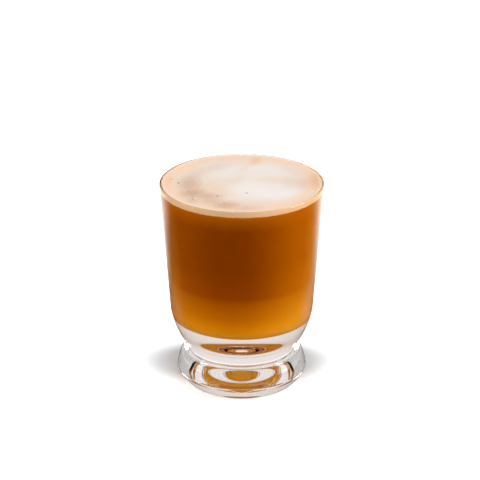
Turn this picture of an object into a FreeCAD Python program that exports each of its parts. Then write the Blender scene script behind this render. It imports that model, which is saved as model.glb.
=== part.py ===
"""A footed glass tumbler filled to the brim with filter coffee and milk.

Sizes are in millimetres. The glass stands on z = 0 with its axis on +Z.
Everything is round, so each sub-part is a half section turned about the axis.
"""
import FreeCAD
import Part
import math
import os

# The bowl.
TOTAL_HEIGHT = 106.3
RIM_RADIUS = 41.0
RIM_THICKNESS = 1.2
WALL_END_RADIUS = 35.91
WALL_END_HEIGHT = 39.78
WALL_THICKNESS_AT_FLOOR = 1.57

# The floor inside it, raised in the middle, with a rounded corner.
FLOOR_HEIGHT = 35.78
FLOOR_RISE = 1.36
FLOOR_ROUNDING = 3.89
FLOOR_CORNER_REACH = 2.56

# The neck, and the corner of the bowl that draws in to its top.
NECK_RADIUS = 26.47
NECK_BOTTOM = 17.46
NECK_HEIGHT = 5.84
NECK_TOP_ROUNDING = 1.02
CORNER_SLOPE = -7.0
CORNER_NECK_PULL = 4.36
CORNER_WALL_PULL = 2.81

# The bulging foot under the neck, and the ring it stands on.
FOOT_SWELL = 6.13
FOOT_WIDEST = 8.31
NECK_FOOT_ROUNDING = 1.87
SHOULDER_SLOPE = 0.8
SHOULDER_PULL = 4.99
WIDEST_PULL_UP = 0.22
WIDEST_PULL_DOWN = 2.71
STANDING_INSET = 6.13
STANDING_PULL = 1.11
STANDING_RING_WIDTH = 9.06

# The rippled hollow under the foot: raised at the axis, with a valley and a crest round it.
HOLLOW_MIDDLE = 4.0
HOLLOW_VALLEY = 2.0
HOLLOW_CREST = 3.6
VALLEY_TO_CREST = 5.5
CREST_TO_RING = 5.1
CREST_PULL = 2.6
RING_PULL_IN = 1.1
RING_PULL_UP = 1.5

# The drink.
BRIM_GAP = 0.45
FOAM_THICKNESS = 2.8
FOAM_RISE = 0.3
LOWER_LAYER_DEPTH = 21.9

# Sizes that follow from the ones above.
RIM_SHOULDER = TOTAL_HEIGHT - RIM_THICKNESS / 2
INNER_RIM_RADIUS = RIM_RADIUS - RIM_THICKNESS
NECK_TOP = NECK_BOTTOM + NECK_HEIGHT
FOOT_RADIUS = NECK_RADIUS + FOOT_SWELL
STANDING_RADIUS = FOOT_RADIUS - STANDING_INSET
HOLLOW_RADIUS = STANDING_RADIUS - STANDING_RING_WIDTH
CREST_RADIUS = HOLLOW_RADIUS - CREST_TO_RING
VALLEY_RADIUS = CREST_RADIUS - VALLEY_TO_CREST
FLOOR_CORNER_TOP = FLOOR_HEIGHT + FLOOR_ROUNDING
FOAM_EDGE = TOTAL_HEIGHT - BRIM_GAP
FOAM_BOTTOM = FOAM_EDGE - FOAM_THICKNESS
LAYER_HEIGHT = FLOOR_HEIGHT + LOWER_LAYER_DEPTH


def outer_wall_radius(height):
    """Radius of the straight outer wall, carried on below its end where needed."""
    lean = (RIM_RADIUS - WALL_END_RADIUS) / (RIM_SHOULDER - WALL_END_HEIGHT)
    return RIM_RADIUS - lean * (RIM_SHOULDER - height)


def inner_wall_radius(height):
    """Radius of the straight inner wall; the wall thickens from the rim to the floor."""
    low_radius = outer_wall_radius(FLOOR_HEIGHT) - WALL_THICKNESS_AT_FLOOR
    lean = (INNER_RIM_RADIUS - low_radius) / (RIM_SHOULDER - FLOOR_HEIGHT)
    return low_radius + lean * (height - FLOOR_HEIGHT)


def at(radius, height):
    """A point of the half section."""
    return FreeCAD.Vector(radius, 0, height)


def beside(point, distance, slope):
    """The point a distance outwards from another, up or down at a slope in degrees."""
    angle = math.radians(slope)
    return point + at(distance * math.cos(angle), distance * math.sin(angle))


def on_inner_wall(height):
    """The point of the inner wall at a height."""
    return at(inner_wall_radius(height), height)


def line(start, end):
    """A straight edge."""
    return Part.makeLine(start, end)


def bend(*poles):
    """A smooth edge from the first pole to the last, pulled towards those between."""
    curve = Part.BezierCurve()
    curve.setPoles(list(poles))
    return curve.toShape()


def turned(edges):
    """The solid made by turning a closed half section once about the axis."""
    face = Part.Face(Part.Wire(edges))
    return face.revolve(FreeCAD.Vector(0, 0, 0), FreeCAD.Vector(0, 0, 1), 360)


def lip_edges():
    """The round lip, from the inner wall over the top to the outer wall."""
    inner = at(INNER_RIM_RADIUS, RIM_SHOULDER)
    top = at(RIM_RADIUS - RIM_THICKNESS / 2, TOTAL_HEIGHT)
    outer = at(RIM_RADIUS, RIM_SHOULDER)
    return [Part.Arc(inner, top, outer).toShape()]


def bowl_edges():
    """The outer wall, and the round corner that draws it in to the neck."""
    wall_end = at(WALL_END_RADIUS, WALL_END_HEIGHT)
    pull_height = WALL_END_HEIGHT - CORNER_WALL_PULL
    wall_pull = at(outer_wall_radius(pull_height), pull_height)
    neck_edge = at(NECK_RADIUS, NECK_TOP)
    corner_end = beside(neck_edge, NECK_TOP_ROUNDING, CORNER_SLOPE)
    corner_pull = beside(corner_end, CORNER_NECK_PULL, CORNER_SLOPE)
    neck_start = at(NECK_RADIUS, NECK_TOP - NECK_TOP_ROUNDING)
    return [
        line(at(RIM_RADIUS, RIM_SHOULDER), wall_end),
        bend(wall_end, wall_pull, corner_pull, corner_end),
        bend(corner_end, neck_edge, neck_edge, neck_start),
    ]


def foot_edges():
    """The neck and the bulging foot, down to the ring it stands on."""
    neck_start = at(NECK_RADIUS, NECK_TOP - NECK_TOP_ROUNDING)
    neck_end = at(NECK_RADIUS, NECK_BOTTOM + NECK_FOOT_ROUNDING)
    crease = at(NECK_RADIUS, NECK_BOTTOM)
    shoulder = beside(crease, NECK_FOOT_ROUNDING, -SHOULDER_SLOPE)
    shoulder_pull = beside(crease, SHOULDER_PULL, -SHOULDER_SLOPE)
    widest = at(FOOT_RADIUS, FOOT_WIDEST)
    pull_up = at(FOOT_RADIUS, FOOT_WIDEST + WIDEST_PULL_UP)
    pull_down = at(FOOT_RADIUS, FOOT_WIDEST - WIDEST_PULL_DOWN)
    standing = at(STANDING_RADIUS, 0)
    standing_pull = at(STANDING_RADIUS + STANDING_PULL, 0)
    return [
        line(neck_start, neck_end),
        bend(neck_end, crease, crease, shoulder),
        bend(shoulder, shoulder_pull, pull_up, widest),
        bend(widest, pull_down, standing_pull, standing),
    ]


def underside_edges():
    """The flat ring the foot stands on, and the rippled hollow inside it."""
    ring_edge = at(HOLLOW_RADIUS, 0)
    ring_pull = ring_edge + at(-RING_PULL_IN, RING_PULL_UP)
    crest = at(CREST_RADIUS, HOLLOW_CREST)
    valley = at(VALLEY_RADIUS, HOLLOW_VALLEY)
    outer_third = at(VALLEY_TO_CREST / 3, 0)
    inner_third = at(VALLEY_RADIUS / 3, 0)
    middle = at(0, HOLLOW_MIDDLE)
    return [
        line(at(STANDING_RADIUS, 0), ring_edge),
        bend(ring_edge, ring_pull, crest + at(CREST_PULL, 0), crest),
        bend(crest, crest - outer_third, valley + outer_third, valley),
        bend(valley, valley - inner_third, middle + inner_third, middle),
    ]


def floor_edges():
    """The inner floor, raised in the middle, and its rounded corner up to the wall."""
    floor_middle = at(0, FLOOR_HEIGHT + FLOOR_RISE)
    corner_start = at(inner_wall_radius(FLOOR_HEIGHT) - FLOOR_ROUNDING, FLOOR_HEIGHT)
    floor_pull = at(corner_start.x / 2, FLOOR_HEIGHT + FLOOR_RISE)
    floor_drop = 2 * FLOOR_RISE / corner_start.x * FLOOR_CORNER_REACH
    corner_pull = corner_start + at(FLOOR_CORNER_REACH, -floor_drop)
    wall_pull = at(inner_wall_radius(FLOOR_HEIGHT), FLOOR_CORNER_TOP - FLOOR_CORNER_REACH)
    return [
        bend(floor_middle, floor_pull, corner_start),
        bend(corner_start, corner_pull, wall_pull, on_inner_wall(FLOOR_CORNER_TOP)),
    ]


def glass():
    """The tumbler: thin bowl, thick floor, short neck and bulging foot in one piece."""
    edges = lip_edges() + bowl_edges() + foot_edges() + underside_edges()
    edges.append(line(at(0, HOLLOW_MIDDLE), at(0, FLOOR_HEIGHT + FLOOR_RISE)))
    edges += floor_edges()
    edges.append(line(on_inner_wall(FLOOR_CORNER_TOP), at(INNER_RIM_RADIUS, RIM_SHOULDER)))
    return turned(edges)


def coffee_lower():
    """The paler, milkier coffee resting on the floor of the glass."""
    edges = floor_edges()
    edges.append(line(on_inner_wall(FLOOR_CORNER_TOP), on_inner_wall(LAYER_HEIGHT)))
    edges.append(line(on_inner_wall(LAYER_HEIGHT), at(0, LAYER_HEIGHT)))
    edges.append(line(at(0, LAYER_HEIGHT), at(0, FLOOR_HEIGHT + FLOOR_RISE)))
    return turned(edges)


def coffee_upper():
    """The darker coffee above it, up to the foam."""
    edges = [
        line(at(0, LAYER_HEIGHT), on_inner_wall(LAYER_HEIGHT)),
        line(on_inner_wall(LAYER_HEIGHT), on_inner_wall(FOAM_BOTTOM)),
        line(on_inner_wall(FOAM_BOTTOM), at(0, FOAM_BOTTOM)),
        line(at(0, FOAM_BOTTOM), at(0, LAYER_HEIGHT)),
    ]
    return turned(edges)


def milk_foam():
    """The thin cap of foam, very slightly domed, just under the rim."""
    foam_middle = at(0, FOAM_EDGE + FOAM_RISE)
    foam_pull = at(0.6 * inner_wall_radius(FOAM_EDGE), FOAM_EDGE + FOAM_RISE)
    edges = [
        line(at(0, FOAM_BOTTOM), on_inner_wall(FOAM_BOTTOM)),
        line(on_inner_wall(FOAM_BOTTOM), on_inner_wall(FOAM_EDGE)),
        bend(on_inner_wall(FOAM_EDGE), foam_pull, foam_middle),
        line(foam_middle, at(0, FOAM_BOTTOM)),
    ]
    return turned(edges)


os.makedirs("parts", exist_ok=True)
glass().exportStep("parts/glass.step")
coffee_lower().exportStep("parts/coffee_lower.step")
coffee_upper().exportStep("parts/coffee_upper.step")
milk_foam().exportStep("parts/milk_foam.step")
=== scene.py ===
"""A glass of filter coffee with milk, filled to the brim, on a plain pale floor.

Sizes are in metres. The tumbler stands on the floor at the origin with its axis on +Z.
Its height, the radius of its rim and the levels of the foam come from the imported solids,
and its other sizes are those that the solids were made with.
"""
import math

import bpy
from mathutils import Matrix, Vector


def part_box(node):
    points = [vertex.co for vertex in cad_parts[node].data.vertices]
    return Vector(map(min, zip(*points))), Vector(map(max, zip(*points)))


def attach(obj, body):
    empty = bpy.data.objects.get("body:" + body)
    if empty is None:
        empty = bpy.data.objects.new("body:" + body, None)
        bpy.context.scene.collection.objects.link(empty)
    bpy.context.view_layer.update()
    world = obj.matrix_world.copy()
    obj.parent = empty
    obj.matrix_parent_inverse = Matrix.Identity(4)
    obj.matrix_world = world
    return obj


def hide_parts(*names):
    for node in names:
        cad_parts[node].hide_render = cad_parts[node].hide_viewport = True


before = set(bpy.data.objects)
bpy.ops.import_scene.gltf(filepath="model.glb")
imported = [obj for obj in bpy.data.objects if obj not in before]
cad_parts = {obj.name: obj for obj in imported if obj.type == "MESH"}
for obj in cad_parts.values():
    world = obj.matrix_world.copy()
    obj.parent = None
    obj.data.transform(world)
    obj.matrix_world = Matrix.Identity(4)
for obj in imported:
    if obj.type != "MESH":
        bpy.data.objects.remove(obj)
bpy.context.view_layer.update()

MM = 0.001
GLASS_TURN_STEPS = 256
FOAM_TURN_STEPS = 380

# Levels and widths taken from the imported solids.
RIM_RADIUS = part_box("glass")[1].x
TOTAL_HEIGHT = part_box("glass")[1].z
FOAM_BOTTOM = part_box("milk_foam")[0].z
FOAM_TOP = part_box("milk_foam")[1].z

# The bowl.
RIM_THICKNESS = 1.2 * MM
LIP_STEPS = 12
RIM_SHOULDER = TOTAL_HEIGHT - RIM_THICKNESS / 2
WALL_END_RADIUS = 35.91 * MM
WALL_END_HEIGHT = 39.78 * MM
WALL_THICKNESS_AT_FLOOR = 1.57 * MM

# The floor inside it, raised in the middle, with a rounded corner.
FLOOR_HEIGHT = 35.78 * MM
FLOOR_RISE = 1.36 * MM
FLOOR_ROUNDING = 3.89 * MM
FLOOR_CORNER_REACH = 2.56 * MM

# The neck, and the corner of the bowl that draws in to its top.
NECK_RADIUS = 26.47 * MM
NECK_BOTTOM = 17.46 * MM
NECK_TOP = NECK_BOTTOM + 5.84 * MM
NECK_TOP_ROUNDING = 1.02 * MM
CORNER_SLOPE = -7.0
CORNER_NECK_PULL = 4.36 * MM
CORNER_WALL_PULL = 2.81 * MM

# The bulging foot under the neck, and the ring it stands on.
FOOT_RADIUS = NECK_RADIUS + 6.13 * MM
FOOT_WIDEST = 8.31 * MM
NECK_FOOT_ROUNDING = 1.87 * MM
SHOULDER_SLOPE = 0.8
SHOULDER_PULL = 4.99 * MM
WIDEST_PULL_UP = 0.22 * MM
WIDEST_PULL_DOWN = 2.71 * MM
STANDING_RADIUS = FOOT_RADIUS - 6.13 * MM
STANDING_PULL = 1.11 * MM
HOLLOW_RADIUS = STANDING_RADIUS - 9.06 * MM

# The rippled hollow under the foot: raised at the axis, with a valley and a crest round it.
HOLLOW_MIDDLE = 4.0 * MM
HOLLOW_VALLEY = 2.0 * MM
HOLLOW_CREST = 3.6 * MM
CREST_RADIUS = HOLLOW_RADIUS - 5.1 * MM
VALLEY_RADIUS = CREST_RADIUS - 5.5 * MM
CREST_PULL = 2.6 * MM
RING_PULL_IN = 1.1 * MM
RING_PULL_UP = 1.5 * MM

# The drink reaches this far into the glass, so that no air lies between them.
WETTING = 0.15 * MM

# The top of the foam: where it meets the glass, and how it clings to it.
FOAM_EDGE = TOTAL_HEIGHT - 0.45 * MM
FOAM_CLING = 0.35 * MM
FOAM_RINGS = 110

# Low swells in the top of the foam: their width and height, and the share of the rim's
# radius at which they have died out.
FOAM_SWELLS = ((9 * MM, 0.32 * MM), (1.6 * MM, 0.07 * MM))
SWELLS_END = 0.94


# ---------------------------------------------------------------- sections

def at(radius, height):
    """A point of a half section."""
    return Vector((radius, 0, height))


def beside(point, distance, slope):
    """The point a distance outwards from another, up or down at a slope in degrees."""
    angle = math.radians(slope)
    return point + at(distance * math.cos(angle), distance * math.sin(angle))


def straight(start, end):
    """Points along a straight run, close together at its two ends."""
    shares = (0.01, 0.03, 0.1, 0.3, 0.5, 0.7, 0.9, 0.97, 0.99, 1)
    return [start.lerp(end, share) for share in shares]


def bend(steps, *poles):
    """Points along a smooth run from the first pole to the last, pulled by those between."""
    points = []
    for step in range(1, steps + 1):
        row = list(poles)
        while len(row) > 1:
            row = [a.lerp(b, step / steps) for a, b in zip(row, row[1:])]
        points.append(row[0])
    return points


def outer_wall_radius(height):
    """Radius of the straight outer wall, carried on below its end where needed."""
    lean = (RIM_RADIUS - WALL_END_RADIUS) / (RIM_SHOULDER - WALL_END_HEIGHT)
    return RIM_RADIUS - lean * (RIM_SHOULDER - height)


def inner_wall_radius(height):
    """Radius of the straight inner wall, which thickens from the rim to the floor."""
    low = outer_wall_radius(FLOOR_HEIGHT) - WALL_THICKNESS_AT_FLOOR
    lean = (RIM_RADIUS - RIM_THICKNESS - low) / (RIM_SHOULDER - FLOOR_HEIGHT)
    return low + lean * (height - FLOOR_HEIGHT)


def on_inner_wall(height, reach=0.0):
    """The point of the inner wall at a height, or one that reaches into the wall."""
    return at(inner_wall_radius(height) + reach, height)


def floor_section(reach=0.0):
    """The glass floor, raised in the middle, and its round corner up to the wall."""
    corner_radius = inner_wall_radius(FLOOR_HEIGHT) - FLOOR_ROUNDING
    middle = at(0, FLOOR_HEIGHT + FLOOR_RISE - reach)
    corner_start = at(corner_radius, FLOOR_HEIGHT - reach)
    drop = 2 * FLOOR_RISE / corner_radius * FLOOR_CORNER_REACH
    corner_pull = corner_start + at(FLOOR_CORNER_REACH, -drop)
    wall_end = on_inner_wall(FLOOR_HEIGHT + FLOOR_ROUNDING, reach)
    wall_pull = at(inner_wall_radius(FLOOR_HEIGHT) + reach, wall_end.z - FLOOR_CORNER_REACH)
    floor_pull = at(corner_radius / 2, middle.z)
    section = [middle]
    section += bend(18, middle, floor_pull, corner_start)
    section += bend(18, corner_start, corner_pull, wall_pull, wall_end)
    return section


def tumbler_section():
    """The whole glass: floor, inner wall, lip, outer wall, corner, neck, foot and hollow."""
    section = floor_section()
    inner_lip = at(RIM_RADIUS - RIM_THICKNESS, RIM_SHOULDER)
    section += straight(section[-1], inner_lip)
    lip = RIM_THICKNESS / 2
    for step in range(1, LIP_STEPS + 1):
        angle = math.pi * (1 - step / LIP_STEPS)
        section.append(at(RIM_RADIUS - lip + lip * math.cos(angle),
                          RIM_SHOULDER + lip * math.sin(angle)))
    section += straight(section[-1], at(WALL_END_RADIUS, WALL_END_HEIGHT))
    section += corner_section(section[-1])
    section += foot_section(section[-1])
    section += hollow_section()
    return section


def corner_section(wall_end):
    """The round corner that draws the bowl in to the neck, and the tight turn down."""
    pull_height = WALL_END_HEIGHT - CORNER_WALL_PULL
    wall_pull = at(outer_wall_radius(pull_height), pull_height)
    neck_edge = at(NECK_RADIUS, NECK_TOP)
    corner_end = beside(neck_edge, NECK_TOP_ROUNDING, CORNER_SLOPE)
    corner_pull = beside(corner_end, CORNER_NECK_PULL, CORNER_SLOPE)
    neck_start = at(NECK_RADIUS, NECK_TOP - NECK_TOP_ROUNDING)
    section = bend(40, wall_end, wall_pull, corner_pull, corner_end)
    section += bend(10, corner_end, neck_edge, neck_edge, neck_start)
    return section


def foot_section(neck_start):
    """The neck, the crease under it and the bulging foot, down to the standing ring."""
    crease = at(NECK_RADIUS, NECK_BOTTOM)
    neck_end = crease + at(0, NECK_FOOT_ROUNDING)
    shoulder = beside(crease, NECK_FOOT_ROUNDING, -SHOULDER_SLOPE)
    shoulder_pull = beside(crease, SHOULDER_PULL, -SHOULDER_SLOPE)
    widest = at(FOOT_RADIUS, FOOT_WIDEST)
    pull_up = at(FOOT_RADIUS, FOOT_WIDEST + WIDEST_PULL_UP)
    pull_down = at(FOOT_RADIUS, FOOT_WIDEST - WIDEST_PULL_DOWN)
    standing = at(STANDING_RADIUS, 0)
    standing_pull = at(STANDING_RADIUS + STANDING_PULL, 0)
    section = straight(neck_start, neck_end)
    section += bend(10, neck_end, crease, crease, shoulder)
    section += bend(36, shoulder, shoulder_pull, pull_up, widest)
    section += bend(28, widest, pull_down, standing_pull, standing)
    return section


def hollow_section():
    """The flat standing ring and the rippled hollow inside it, up to the axis."""
    ring_edge = at(HOLLOW_RADIUS, 0)
    ring_pull = ring_edge + at(-RING_PULL_IN, RING_PULL_UP)
    crest = at(CREST_RADIUS, HOLLOW_CREST)
    valley = at(VALLEY_RADIUS, HOLLOW_VALLEY)
    middle = at(0, HOLLOW_MIDDLE)
    outer_third = at((CREST_RADIUS - VALLEY_RADIUS) / 3, 0)
    inner_third = at(VALLEY_RADIUS / 3, 0)
    section = straight(at(STANDING_RADIUS, 0), ring_edge)
    section += bend(14, ring_edge, ring_pull, crest + at(CREST_PULL, 0), crest)
    section += bend(18, crest, crest - outer_third, valley + outer_third, valley)
    section += bend(18, valley, valley - inner_third, middle + inner_third, middle)
    return section


def coffee_section():
    """The drink from the glass floor up to the foam."""
    section = floor_section(WETTING)
    section += straight(section[-1], on_inner_wall(FOAM_BOTTOM, WETTING))
    section += straight(section[-1], at(0, FOAM_BOTTOM))
    return section


def foam_section():
    """The cap of foam: flat below, slightly domed above and lifted where it meets the glass."""
    section = [at(0, FOAM_BOTTOM)]
    section += straight(section[-1], on_inner_wall(FOAM_BOTTOM, WETTING))
    section += straight(section[-1], on_inner_wall(FOAM_EDGE, WETTING))
    edge = section[-1]
    for step in range(1, FOAM_RINGS + 1):
        share = 1 - step / FOAM_RINGS
        dome = (FOAM_TOP - FOAM_EDGE) * (1 - share ** 2)
        cling = FOAM_CLING * math.exp((share - 1) * 26)
        section.append(at(edge.x * share, FOAM_EDGE + dome * 0.6 + cling))
    return section


# ---------------------------------------------------------------- modelling

def deselect_all():
    """Nothing is selected, so that the next operator acts only on what it makes."""
    bpy.ops.object.select_all(action="DESELECT")


def turned_piece(name, section, steps=GLASS_TURN_STEPS):
    """The piece that a half section gives when it is spun once about the upright axis."""
    deselect_all()
    bpy.ops.mesh.primitive_plane_add(size=MM, location=section[0])
    piece = bpy.context.object
    piece.name = name
    piece.data.name = name
    bpy.ops.object.transform_apply(location=True, rotation=True, scale=True)
    bpy.ops.object.mode_set(mode="EDIT")
    bpy.ops.mesh.select_all(action="SELECT")
    bpy.ops.mesh.merge(type="CENTER")
    for here, there in zip(section, section[1:]):
        bpy.ops.mesh.extrude_vertices_move(TRANSFORM_OT_translate={"value": there - here})
    bpy.ops.mesh.select_all(action="SELECT")
    bpy.ops.mesh.spin(steps=steps, angle=math.tau, center=(0, 0, 0), axis=(0, 0, 1))
    bpy.ops.mesh.select_all(action="SELECT")
    bpy.ops.mesh.remove_doubles(threshold=0.001 * MM)
    bpy.ops.mesh.normals_make_consistent(inside=False)
    bpy.ops.object.mode_set(mode="OBJECT")
    bpy.ops.object.shade_smooth()
    return piece


# ---------------------------------------------------------------- materials

class Value:
    """A socket that can be added, multiplied and so on as a number."""

    def __init__(self, finish, socket):
        self.finish = finish
        self.socket = socket

    def _math(self, operation, first, second, clamp=False):
        return self.finish.node("ShaderNodeMath",
                                {"operation": operation, "use_clamp": clamp},
                                {0: first, 1: second})

    def __add__(self, other):
        return self._math("ADD", self, other)

    def __radd__(self, other):
        return self._math("ADD", other, self)

    def __sub__(self, other):
        return self._math("SUBTRACT", self, other)

    def __rsub__(self, other):
        return self._math("SUBTRACT", other, self)

    def __mul__(self, other):
        return self._math("MULTIPLY", self, other)

    def __rmul__(self, other):
        return self._math("MULTIPLY", other, self)

    def __truediv__(self, other):
        return self._math("DIVIDE", self, other)

    def __pow__(self, other):
        return self._math("POWER", self, other)

    def at_least(self, other):
        return self._math("MAXIMUM", self, other)


class Finish:
    """The nodes of a material or of the world, with its main shader."""

    def __init__(self, owner, shader="Principled BSDF"):
        owner.use_nodes = True
        self.owner = owner
        self.tree = owner.node_tree
        self.shader = self.tree.nodes[shader]

    def node(self, kind, settings=None, inputs=None, output=0):
        """Adds a node: its settings first, then the values or links of its sockets."""
        node = self.tree.nodes.new(kind)
        for key, setting in (settings or {}).items():
            if key == "stops":
                self._set_stops(node.color_ramp, setting)
            else:
                setattr(node, key, setting)
        for key, value in (inputs or {}).items():
            self.feed(node.inputs[key], value)
        return Value(self, node.outputs[output])

    def _set_stops(self, ramp, stops):
        while len(ramp.elements) < len(stops):
            ramp.elements.new(0.5)
        for element, (position, colour) in zip(ramp.elements, stops):
            element.position = position
            element.color = colour

    def feed(self, socket, value):
        if isinstance(value, Value):
            self.tree.links.new(value.socket, socket)
        else:
            socket.default_value = value

    def set(self, **values):
        """Sets or links sockets of the main shader, with _ for each blank in a name."""
        for key, value in values.items():
            self.feed(self.shader.inputs[key.replace("_", " ")], value)

    def place(self):
        """Object coordinates."""
        return self.node("ShaderNodeTexCoord", output="Object")

    def axis(self, letter):
        """One of the three object coordinates."""
        return self.node("ShaderNodeSeparateXYZ", {}, {0: self.place()}, output=letter)

    def mix(self, mask, first, second):
        """The first colour where the mask is 0 and the second where it is 1."""
        return self.node("ShaderNodeMix", {"data_type": "RGBA"},
                         {0: mask, 6: first, 7: second}, output=2)

    def noise(self, scale, detail=2.0, roughness=0.5, place=None):
        """Soft cloudy noise from 0 to 1."""
        return self.node("ShaderNodeTexNoise", {},
                         {"Vector": place or self.place(), "Scale": scale,
                          "Detail": detail, "Roughness": roughness})

    def ramp(self, value, *stops):
        """A colour, or a number, from stops of position and colour."""
        return self.node("ShaderNodeValToRGB", {"stops": stops}, {0: value})

    def step(self, value, low, high):
        """0 below the low value, 1 above the high one and smooth between."""
        return self.node("ShaderNodeMapRange", {"interpolation_type": "SMOOTHSTEP"},
                         {0: value, 1: low, 2: high})

    def ray(self, kind):
        """1 for rays of a kind, such as those that come straight from the camera."""
        return self.node("ShaderNodeLightPath", output="Is %s Ray" % kind)

    def bump(self, height, strength, distance):
        """The normal of a surface that a height raises by up to a distance."""
        return self.node("ShaderNodeBump", {},
                         {"Strength": strength, "Distance": distance, "Height": height})


def colour(red, green, blue):
    """A colour given as it looks on a screen, from 0 to 255, in the linear form nodes use."""
    linear = []
    for share in (red / 255, green / 255, blue / 255):
        if share < 0.04045:
            linear.append(share / 12.92)
        else:
            linear.append(((share + 0.055) / 1.055) ** 2.4)
    return (*linear, 1.0)


def clear_glass():
    """Polished soda-lime glass with the faint ripple of pressed ware."""
    finish = Finish(bpy.data.materials.new("clear_glass"))
    ripple = finish.noise(38, 1.5)
    finish.set(Base_Color=colour(247, 239, 234), Roughness=0.0, IOR=1.52,
               Transmission_Weight=1.0, Specular_Tint=(0.1, 0.1, 0.1, 1.0),
               Normal=finish.bump(ripple, 0.02, 0.4 * MM))
    return finish.owner


# The colours of the drink at heights in millimetres: at its front, and at its right side, which
# is made paler as painted light from the lamp on that side. The bright amber low down is partly
# the drink's own lower layer and partly a painted glow of light coming up through the glass
# foot.
COFFEE_DEEP = (
    (36, colour(240, 165, 60)), (38.5, colour(247, 168, 30)), (41.5, colour(245, 158, 5)),
    (47, colour(224, 132, 0)), (56.5, colour(195, 102, 0)), (58.5, colour(176, 84, 0)),
    (72, colour(160, 75, 0)), (95, colour(160, 75, 0)), (103.5, colour(200, 110, 0)),
)
COFFEE_PAINTED_LIT_SIDE = (
    (36, colour(235, 165, 70)), (41.5, colour(240, 168, 30)), (56, colour(217, 135, 10)),
    (58.5, colour(208, 122, 5)), (76, colour(198, 110, 0)), (103.5, colour(198, 110, 0)),
)
# Painted light on the drink's edges: amber low down and gold higher up.
PAINTED_EDGE_AMBER = colour(212, 141, 40)
PAINTED_EDGE_GOLD = colour(228, 156, 56)
# Painted reflection: a pale haze at the drink's outermost edges.
PAINTED_REFLECTION_HAZE = colour(234, 186, 140)


def tones(finish, height, *stops):
    """A colour that changes with height, from stops of a height in millimetres and a colour."""
    low, high = stops[0][0], stops[-1][0]
    places = [((level - low) / (high - low), tone) for level, tone in stops]
    return finish.ramp((height / MM - low) / (high - low), *places)


def milk_coffee():
    """Coffee with milk: dark brown above and amber where the milk has sunk, with a painted glow
    of light from below in the amber; its paler sides and edges are painted light, and the pale
    haze at its edges is a painted reflection.
    """
    finish = Finish(bpy.data.materials.new("milk_coffee"))
    wisps = finish.noise(38, 2.5, 0.6) - 0.5
    height = finish.axis("Z") + wisps * (2.2 * MM)
    side = finish.axis("X")
    radius = (side ** 2 + finish.axis("Y") ** 2) ** 0.5
    side = side / radius.at_least(MM) + wisps * 0.13
    deep = tones(finish, height, *COFFEE_DEEP)
    # Painted light: the drink is paler on its right side, and more faintly on its left, as if
    # lit by the side lamps.
    pale = tones(finish, height, *COFFEE_PAINTED_LIT_SIDE)
    right = finish.step(side, 0.0, 0.95)
    left = finish.step(side, -0.25, -0.95) * 0.38
    base = finish.mix(right.at_least(left), deep, pale)
    low = finish.step(height, 62 * MM, 44 * MM)
    # Painted light: the drink's edges are made lighter, amber low down and gold higher up.
    edge = finish.step(side, 0.76, 0.98).at_least(finish.step(side, -0.76, -0.98) * 0.8)
    base = finish.mix(edge, base, finish.mix(low, PAINTED_EDGE_AMBER, PAINTED_EDGE_GOLD))
    # Painted reflection: a pale haze at the outermost edges, stronger on the right.
    painted_haze = finish.step(side, 0.87 - low * 0.13, 1.0) * 0.6
    painted_haze = painted_haze.at_least(finish.step(side, low * 0.16 - 0.90, -1.0) * 0.28)
    base = finish.mix(painted_haze, base, PAINTED_REFLECTION_HAZE)
    finish.set(Base_Color=base, Roughness=0.55, Specular_IOR_Level=0.0)
    return finish.owner


# The colours of the foam.
FOAM_CREAM = colour(238, 227, 217)
FOAM_WHITE = colour(241, 231, 223)
FOAM_PEACH = colour(245, 213, 186)
FOAM_TAN = colour(208, 166, 134)
FOAM_LIP = colour(246, 226, 208)
FOAM_SIDE = colour(255, 217, 166)
COFFEE_SOAKED = colour(222, 140, 52)
BURST_BROWN = colour(78, 50, 34)

# Soft oval areas of the foam: centre, half sizes and turn, then colour and strength.
FOAM_VEILS = (
    ((-18, -9), (26, 33), 35, colour(237, 212, 190), 0.85),
    ((4, -31), (34, 13), 0, colour(239, 213, 193), 0.9),
    ((20, 4), (24, 8), -6, colour(238, 217, 200), 0.8),
    ((-3, 4), (7, 14), -35, colour(237, 218, 202), 0.7),
    ((-14, 22), (20, 9), 38, colour(233, 213, 198), 0.85),
    ((-24, 9), (8, 14), -10, colour(228, 206, 190), 0.8),
    ((24, 20), (8, 15), 45, colour(234, 218, 208), 0.7),
    ((1, 20), (3, 12), -20, colour(237, 217, 199), 0.6),
    ((16, -15), (19, 9), 4, colour(243, 234, 227), 0.95),
    ((3, -9), (15, 13), 0, colour(243, 234, 228), 0.9),
)
FOAM_STAINS = (
    ((7, 31), (4.5, 10), -12, colour(240, 192, 150), 0.9),
    ((-29, 21), (7, 12), -50, colour(252, 212, 176), 0.8),
    ((-37, 2), (4, 18), 0, colour(243, 205, 172), 0.8),
    ((36.5, 3), (5, 17), 0, colour(234, 186, 143), 0.95),
    ((31, 0), (7, 14), 0, colour(231, 197, 172), 0.75),
    ((25, 1), (8, 14), 0, colour(231, 210, 194), 0.6),
    ((4, 28), (13, 7), 0, colour(238, 213, 193), 0.6),
    ((28, 13), (7, 9), 30, colour(231, 207, 189), 0.5),
    ((-29, -26), (5, 15), 40, colour(243, 220, 203), 0.8),
    ((2, 37), (24, 4), 0, colour(244, 215, 190), 0.6),
)

# The tan swirl: overlapping soft ovals with their centres, half sizes, turns and strengths.
FOAM_SWIRL = (
    ((-26, -3), (9, 17), 6, 0.75), ((-24, -14), (10, 12), 0, 0.95),
    ((-18, -18), (12, 8), -20, 0.8), ((-12, -18), (6, 4), 0, 0.5),
    ((-15, -24), (14, 9), -35, 0.6), ((-8, -30), (12, 8), -15, 0.85),
    ((1, -34), (13, 6), 5, 0.45), ((-24, -24), (7, 6), -45, 0.5),
)

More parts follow.
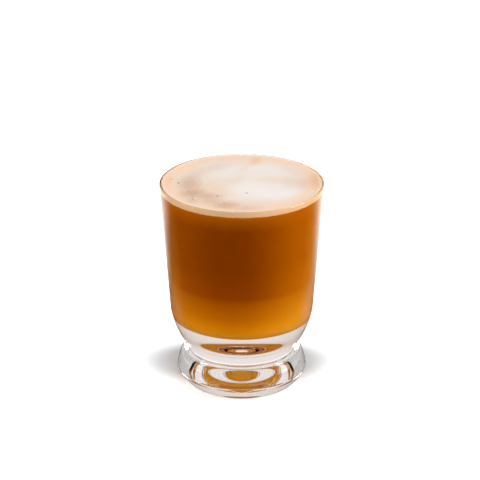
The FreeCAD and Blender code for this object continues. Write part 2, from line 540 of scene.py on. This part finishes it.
# Small burst bubbles: their places and how large they are.
FOAM_SPECKS = (
    ((-31.5, 0.0), 0.95), ((2.5, -14.0), 1.0), ((-12.0, -18.0), 0.75),
    ((-24.0, -22.0), 0.6), ((-35.0, 5.0), 0.8),
)


def milk_foam():
    """Fine milk foam: creamy white in the middle, peach at the rim, with a tan swirl."""
    finish = Finish(bpy.data.materials.new("milk_foam"))
    drift = finish.node("ShaderNodeTexNoise", {}, {"Scale": 70, "Detail": 3.0}, output="Color")
    place = finish.node("ShaderNodeVectorMath", {"operation": "MULTIPLY_ADD"},
                        {0: drift, 1: (7 * MM,) * 3, 2: finish.place()})
    place = finish.node("ShaderNodeVectorMath", {"operation": "SUBTRACT"},
                        {0: place, 1: (3.5 * MM,) * 3})
    flat = finish.node("ShaderNodeVectorMath", {"operation": "MULTIPLY"},
                       {0: place, 1: (1, 1, 0)})
    radius = finish.node("ShaderNodeVectorMath", {"operation": "LENGTH"}, {0: flat},
                         output="Value")
    bubbles = finish.node("ShaderNodeTexVoronoi", {"feature": "F1"},
                          {"Vector": finish.place(), "Scale": 1900})
    base = finish.mix(finish.noise(45, 3), FOAM_CREAM, FOAM_WHITE)
    for centre, size, turn, tone, strength in FOAM_VEILS:
        base = finish.mix(patch(finish, flat, centre, size, turn) * strength, base, tone)
    peach = finish.step(radius, 28 * MM, 36 * MM)
    base = finish.mix(peach * 0.9, base, FOAM_PEACH)
    for centre, size, turn, tone, strength in FOAM_STAINS:
        base = finish.mix(patch(finish, flat, centre, size, turn) * strength, base, tone)
    ovals = [patch(finish, flat, centre, size, turn) * strength
             for centre, size, turn, strength in FOAM_SWIRL]
    tan = ovals[0]
    for oval in ovals[1:]:
        tan = tan.at_least(oval)
    stipple = finish.step(bubbles, 0.15, 0.65) * 0.5 + 0.5
    base = finish.mix(tan * stipple, base, FOAM_TAN)
    lip = finish.step(radius, 38.2 * MM, 39.8 * MM)
    base = finish.mix(lip * 0.6, base, FOAM_LIP)
    for centre, size in FOAM_SPECKS:
        speck = patch(finish, finish.place(), centre, (size, size), 0)
        base = finish.mix(speck, base, BURST_BROWN)
    level = finish.axis("Z")
    below = finish.step(level, FOAM_EDGE - 0.05 * MM, FOAM_EDGE - 0.5 * MM)
    base = finish.mix(below, base, FOAM_SIDE)
    fringe = FOAM_BOTTOM + (finish.noise(300, 3) - 0.4) * (0.9 * MM)
    soaked = finish.step(level - fringe, 0.25 * MM, -0.05 * MM)
    base = finish.mix(soaked, base, COFFEE_SOAKED)
    relief = bubbles * 0.6 + finish.noise(700, 2) * 0.4
    finish.set(Base_Color=base, Roughness=0.62, Specular_IOR_Level=0.25,
               Normal=finish.bump(relief, 0.3, 0.25 * MM))
    return finish.owner


def patch(finish, place, centre, size, turn):
    """1 at the middle of a soft oval patch and 0 outside it, measured in millimetres."""
    local = finish.node(
        "ShaderNodeMapping", {"vector_type": "TEXTURE"},
        {"Vector": place, "Location": (centre[0] * MM, centre[1] * MM, 0),
         "Rotation": (0, 0, math.radians(turn)), "Scale": (size[0] * MM, size[1] * MM, 1)})
    distance = finish.node("ShaderNodeVectorMath", {"operation": "LENGTH"}, {0: local},
                           output="Value")
    return finish.step(distance, 1.0, 0.1)


# ---------------------------------------------------------------- pieces

def settle(piece, finish, slot, *nodes):
    """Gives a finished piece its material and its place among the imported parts."""
    piece.data.materials.append(finish)
    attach(piece, "root")
    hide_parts(*nodes)


def make_tumbler():
    """The clear glass, in one piece from lip to foot."""
    tumbler = turned_piece("tumbler", tumbler_section())
    settle(tumbler, clear_glass(), "clear_glass", "glass")


def make_coffee():
    """The drink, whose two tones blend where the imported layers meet."""
    coffee = turned_piece("coffee", coffee_section())
    settle(coffee, milk_coffee(), "dark_coffee", "coffee_lower", "coffee_upper")


def make_foam():
    """The cap of foam, with its swells and a few burst bubbles."""
    foam = turned_piece("foam_cap", foam_section(), FOAM_TURN_STEPS)
    ruffle(foam)
    for centre, size in FOAM_SPECKS:
        prick(centre, 0.9 * size * MM)
    settle(foam, milk_foam(), "foam", "milk_foam")


def ruffle(foam):
    """Gives the top of the foam low soft swells, which fade out towards the glass."""
    swells = foam.vertex_groups.new(name="swells")
    for vertex in foam.data.vertices:
        reach = at(vertex.co.x, vertex.co.y).length / RIM_RADIUS
        if vertex.co.z > FOAM_EDGE - 0.1 * MM and reach < SWELLS_END:
            swells.add([vertex.index], min(1, (SWELLS_END - reach) * 6), "REPLACE")
    for size, height in FOAM_SWELLS:
        clouds = bpy.data.textures.new("foam_swells", "CLOUDS")
        clouds.noise_scale = size
        displace = foam.modifiers.new("swells", "DISPLACE")
        displace.texture = clouds
        displace.texture_coords = "LOCAL"
        displace.direction = "Z"
        displace.mid_level = 0.5
        displace.strength = height
        displace.vertex_group = "swells"
        bpy.ops.object.modifier_apply(modifier=displace.name)


def prick(centre, reach):
    """Presses a small burst bubble into the foam at a place."""
    foam = bpy.context.object
    place = Vector((centre[0] * MM, centre[1] * MM, FOAM_EDGE))
    nearest = min(foam.data.vertices, key=lambda vertex: (vertex.co - place).length).index
    bpy.ops.object.mode_set(mode="EDIT")
    bpy.ops.mesh.select_all(action="DESELECT")
    bpy.ops.object.mode_set(mode="OBJECT")
    foam.data.vertices[nearest].select = True
    bpy.ops.object.mode_set(mode="EDIT")
    bpy.ops.mesh.select_mode(type="VERT")
    bpy.ops.transform.translate(value=(0, 0, -0.45 * reach), use_proportional_edit=True,
                                proportional_edit_falloff="SMOOTH", proportional_size=reach)
    bpy.ops.object.mode_set(mode="OBJECT")


# ---------------------------------------------------------------- studio

# The floor's own colour and its glow, which is lowest in an oval round the foot: a painted
# shadow that adds to the shadow the lamps cast.
FLOOR_GREY = (0.83, 0.89, 0.93, 1)
FLOOR_UNLIT = (0.02, 0.02, 0.02, 1)
FLOOR_GLOW = 0.07
PAINTED_SHADOW_PLACE = (-2 * MM, 18 * MM)
PAINTED_SHADOW_SIZE = (48 * MM, 26 * MM)

# How bright the floor and the room look through the glass, and the room as a light.
THROUGH_GLASS = 0.86
ROOM_LIGHT = 0.25

# Reflections in the glass show a dark floor near by and the glowing floor behind it.
BACKDROP_NEAR = 75 * MM
BACKDROP_FAR = 200 * MM


def make_floor():
    """A plain floor that stays white where light reaches it and keeps soft shadows, deepened by
    a painted shadow in an oval round the foot.
    """
    deselect_all()
    bpy.ops.mesh.primitive_plane_add(size=6)
    floor = bpy.context.object
    floor.name = "floor"
    finish = Finish(bpy.data.materials.new("pale_floor"))
    behind = finish.step(finish.axis("Y"), BACKDROP_NEAR, BACKDROP_FAR)
    # Painted shadow: the glow drops inside an oval round the foot and rises outside it.
    across = (finish.axis("X") - PAINTED_SHADOW_PLACE[0]) / PAINTED_SHADOW_SIZE[0]
    depth = (finish.axis("Y") - PAINTED_SHADOW_PLACE[1]) / PAINTED_SHADOW_SIZE[1]
    spread = (across ** 2 + depth ** 2) ** 0.5
    away = finish.step(spread, 0.75, 1.25) * 0.5 + finish.step(spread, 5, 20) * 0.4
    through = finish.ray("Transmission")
    shiny = finish.ray("Glossy")
    glow = (finish.ray("Camera") + shiny * behind) * (FLOOR_GLOW + away)
    unlit = through.at_least(shiny * (1 - behind))
    finish.set(Base_Color=finish.mix(unlit, FLOOR_GREY, FLOOR_UNLIT),
               Roughness=0.9, Specular_IOR_Level=0.0,
               Emission_Color=glow + through * THROUGH_GLASS, Emission_Strength=1.0)
    floor.data.materials.append(finish.owner)


def make_room():
    """An even pale room: white to look at, dimmer as a light."""
    world = bpy.data.worlds.new("pale_room")
    bpy.context.scene.world = world
    finish = Finish(world, "Background")
    seen = finish.ray("Camera").at_least(finish.ray("Transmission") * THROUGH_GLASS)
    finish.set(Color=seen.at_least(ROOM_LIGHT), Strength=1.0)


def make_lamp(name, azimuth, elevation, distance, size, power):
    """A soft square lamp, placed round the glass and aimed at its middle."""
    aim = Vector((0, 0, TOTAL_HEIGHT / 2))
    turn = math.radians(azimuth)
    rise = math.radians(elevation)
    direction = Vector((math.sin(turn) * math.cos(rise),
                        -math.cos(turn) * math.cos(rise), math.sin(rise)))
    deselect_all()
    bpy.ops.object.light_add(type="AREA", location=aim + direction * distance)
    lamp = bpy.context.object
    lamp.name = name
    lamp.rotation_euler = direction.to_track_quat("Z", "Y").to_euler()
    lamp.data.size = size
    lamp.data.energy = power


CAMERA_PLACE = (-0.86 * MM, -1200 * MM, 567.1 * MM)
CAMERA_TILT = 22.287


def make_camera():
    """The camera looks down on the glass from the front with a long lens."""
    deselect_all()
    bpy.ops.object.camera_add(location=CAMERA_PLACE,
                              rotation=(math.radians(90 - CAMERA_TILT), 0, 0))
    camera = bpy.context.object
    camera.data.sensor_width = 36
    camera.data.lens = 194.1
    bpy.context.scene.camera = camera


make_tumbler()
make_coffee()
make_foam()
make_floor()
make_room()
make_lamp("key", 80, 12, 1.1, 0.5, 13)
make_lamp("fill", -80, 12, 1.1, 0.5, 6.5)
make_lamp("top", 0, 80, 1.2, 0.28, 7.3)
make_camera()
bpy.context.scene.view_settings.view_transform = "Standard"
